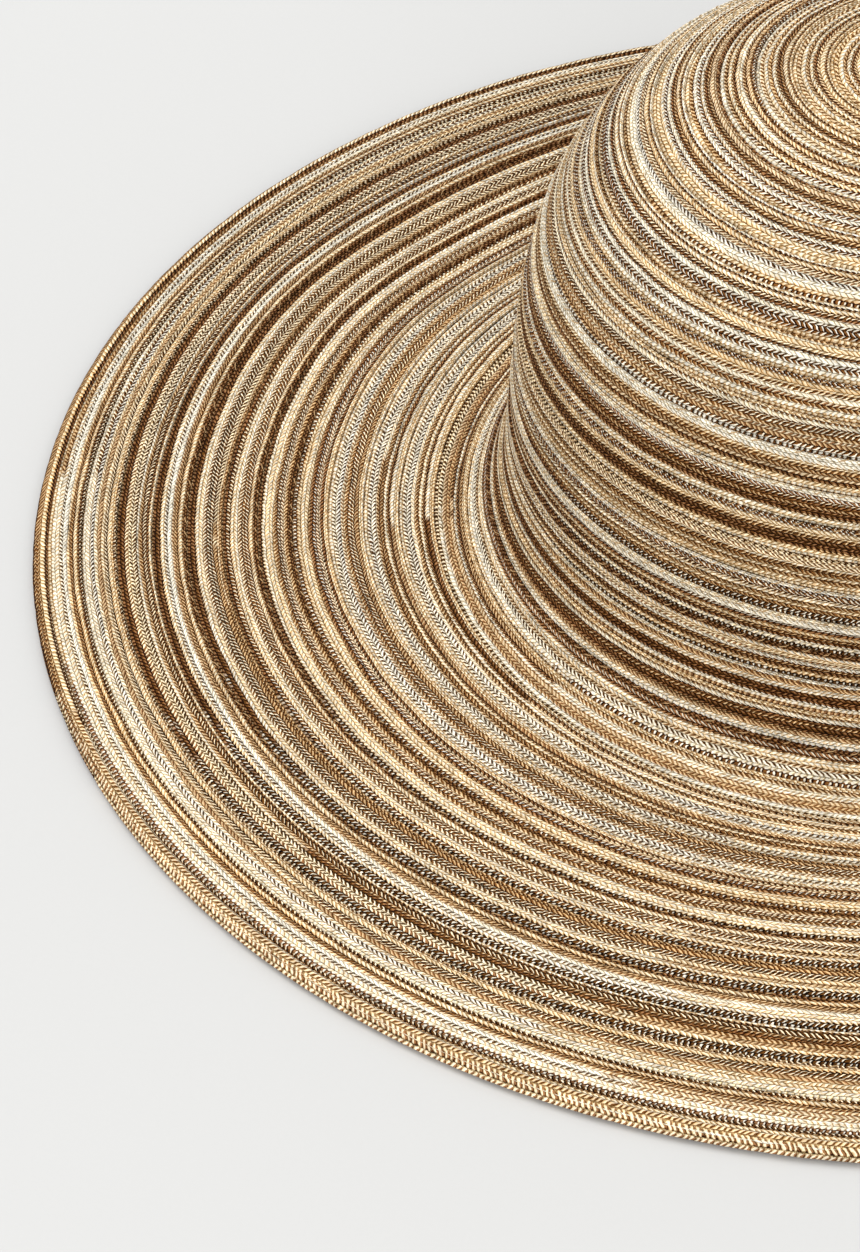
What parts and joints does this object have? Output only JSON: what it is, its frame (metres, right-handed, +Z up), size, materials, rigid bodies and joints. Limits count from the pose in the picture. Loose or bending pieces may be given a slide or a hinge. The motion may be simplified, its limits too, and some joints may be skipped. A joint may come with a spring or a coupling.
{
  "type": "sun hat",
  "caption": "Wide-brimmed sun hat sewn in a spiral from striped braid: rounded hollow crown, nearly flat brim and a doubled edge row.",
  "frame": {"origin": "middle of the hat, on the surface that the edge of its brim rests on", "axes": "+Z up through the crown, -Y towards the front of the hat"},
  "size_m": [0.4, 0.4, 0.1351],
  "materials": {
    "tip_braid": "dry plaited braid in cream, straw tan and brown stripes",
    "side_braid": "dry plaited braid, mostly dark brown, with cream and tan stripes",
    "brim_braid": "dry plaited braid in cream, straw tan and dark brown stripes",
    "edge_yarn": "dry plaited braid, tan with brown chevrons, turned double"
  },
  "bodies": {
    "root": {"crown_tip": "tip_braid", "crown_side": "side_braid", "brim": "brim_braid", "edge_braid": "edge_yarn"}
  },
  "joints": []
}
